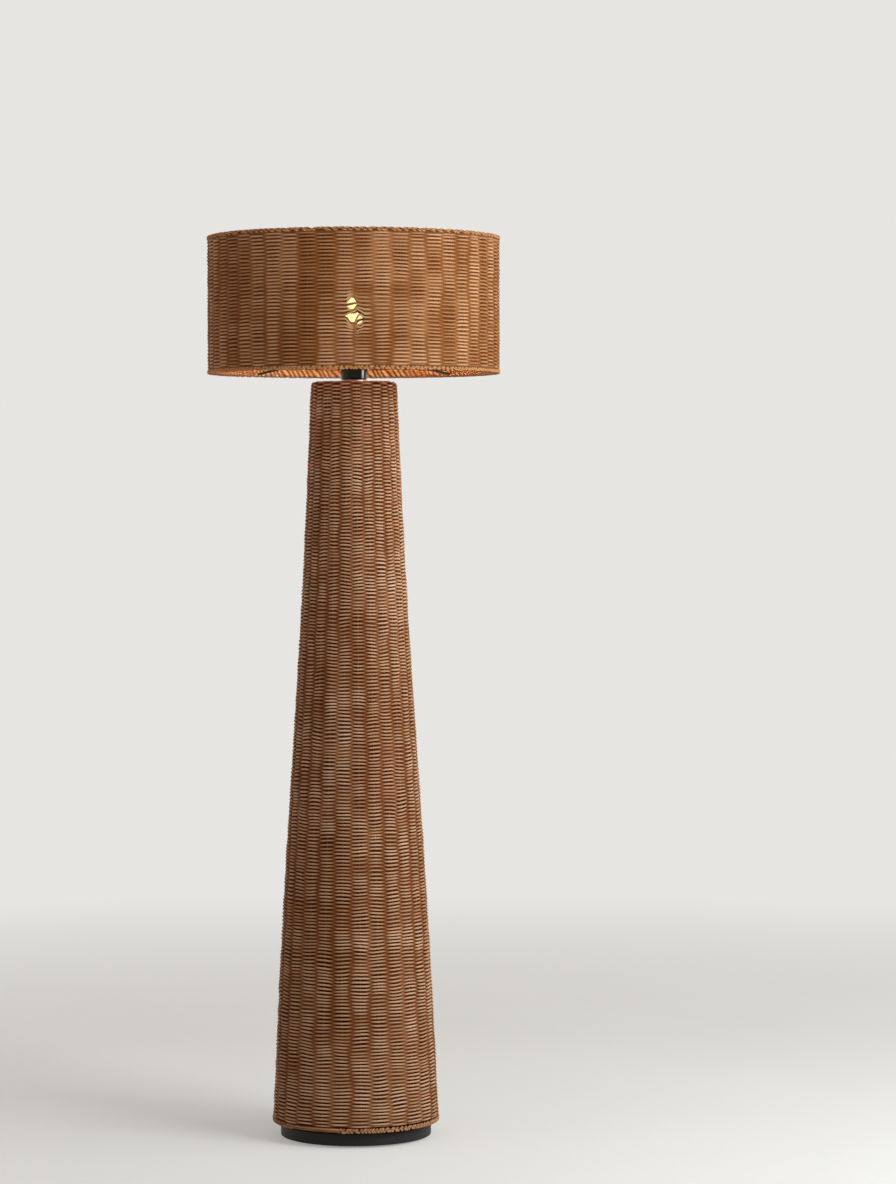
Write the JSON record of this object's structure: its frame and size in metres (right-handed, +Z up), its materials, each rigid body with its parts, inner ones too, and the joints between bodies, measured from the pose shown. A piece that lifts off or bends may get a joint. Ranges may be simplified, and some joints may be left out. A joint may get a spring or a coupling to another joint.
{
  "type": "floor lamp",
  "caption": "Floor lamp with a tapered woven rattan column on a round black weighted base and a woven rattan drum shade over a screw-in bulb.",
  "frame": {"origin": "middle of the footprint on the floor, on the lamp's axis", "axes": "+Z up along the lamp's axis; -Y is the front, the side that the picture shows; +Y is the back, where the switch and the cord outlet are; +X is to the right"},
  "size_m": [0.5, 0.5, 1.536],
  "materials": {
    "base_paint": "satin black powder coat",
    "frame_paint": "black painted steel wire",
    "cast_weight": "raw casting",
    "steel": "zinc plated",
    "rubber_black": "matt",
    "rattan_column": "woven rattan core, stained brown",
    "rattan_shade": "woven rattan core, honey brown",
    "holder_resin": "glossy black thermoset",
    "holder_porcelain": "glazed",
    "contact_brass": "plain",
    "cap_nickel": "nickel plated",
    "bulb_glass": "warm white, lit",
    "bulb_mount_glass": "clear",
    "filament": "glowing filament"
  },
  "bodies": {
    "lamp_stand": {"base_bottom_plate": "base_paint", "base_cover": "base_paint", "base_nut": "steel", "base_washer": "steel", "base_weight": "cast_weight", "centre_contact": "contact_brass", "column_border": "rattan_column", "column_cap": "rattan_column", "column_weave": "rattan_column", "cord_bush": "rubber_black", "foot_1": "rubber_black", "foot_2": "rubber_black", "foot_3": "rubber_black", "foot_4": "rubber_black", "frame_foot_bar_1": "frame_paint", "frame_foot_bar_2": "frame_paint", "frame_hoop_1": "frame_paint", "frame_hoop_2": "frame_paint", "frame_ring_bottom": "frame_paint", "frame_ring_top": "frame_paint", "frame_rod_1": "frame_paint", "frame_rod_2": "frame_paint", "frame_rod_3": "frame_paint", "frame_rod_4": "frame_paint", "frame_top_bar_1": "frame_paint", "frame_top_bar_2": "frame_paint", "holder_dome": "holder_resin", "holder_insert": "holder_porcelain", "holder_skirt": "holder_resin", "nipple_bottom": "steel", "nipple_top": "steel", "screw_shell": "contact_brass", "stem_tube": "frame_paint", "terminal_screw_1": "contact_brass", "terminal_screw_2": "contact_brass", "top_nut": "steel", "top_washer": "steel"},
    "switch_key": {"switch_shaft": "contact_brass", "switch_knob": "holder_resin"},
    "shade_drum": {"shade_arm_1": "frame_paint", "shade_arm_2": "frame_paint", "shade_arm_3": "frame_paint", "shade_arm_4": "frame_paint", "shade_border_bottom": "rattan_shade", "shade_border_top": "rattan_shade", "shade_fitter": "frame_paint", "shade_ring_bottom": "frame_paint", "shade_ring_top": "frame_paint", "shade_strut_1": "frame_paint", "shade_strut_2": "frame_paint", "shade_strut_3": "frame_paint", "shade_strut_4": "frame_paint", "shade_weave": "rattan_shade"},
    "shade_clamp": {"clamp_ring": "holder_resin"},
    "bulb_unit": {"bulb_cap": "cap_nickel", "bulb_filament": "filament", "bulb_glass": "bulb_glass", "bulb_insulator": "holder_resin", "bulb_mount": "bulb_mount_glass", "bulb_tip": "contact_brass"}
  },
  "joints": [
    {"name": "switch_turn", "type": "hinge", "parent": "lamp_stand", "child": "switch_key", "pos_m": [0, 0.027, 1.3125], "axis": [0, 1, 0], "continuous": true},
    {"name": "shade_turn", "type": "hinge", "parent": "lamp_stand", "child": "shade_drum", "pos_m": [0, 0, 1.3355], "axis": [0, 0, 1], "continuous": true},
    {"name": "clamp_unscrew", "type": "slide", "parent": "lamp_stand", "child": "shade_clamp", "axis": [0, 0, 1], "range_m": [0, 0.019]},
    {"name": "bulb_unscrew", "type": "slide", "parent": "lamp_stand", "child": "bulb_unit", "axis": [0, 0, 1], "range_m": [0, 0.029]}
  ]
}
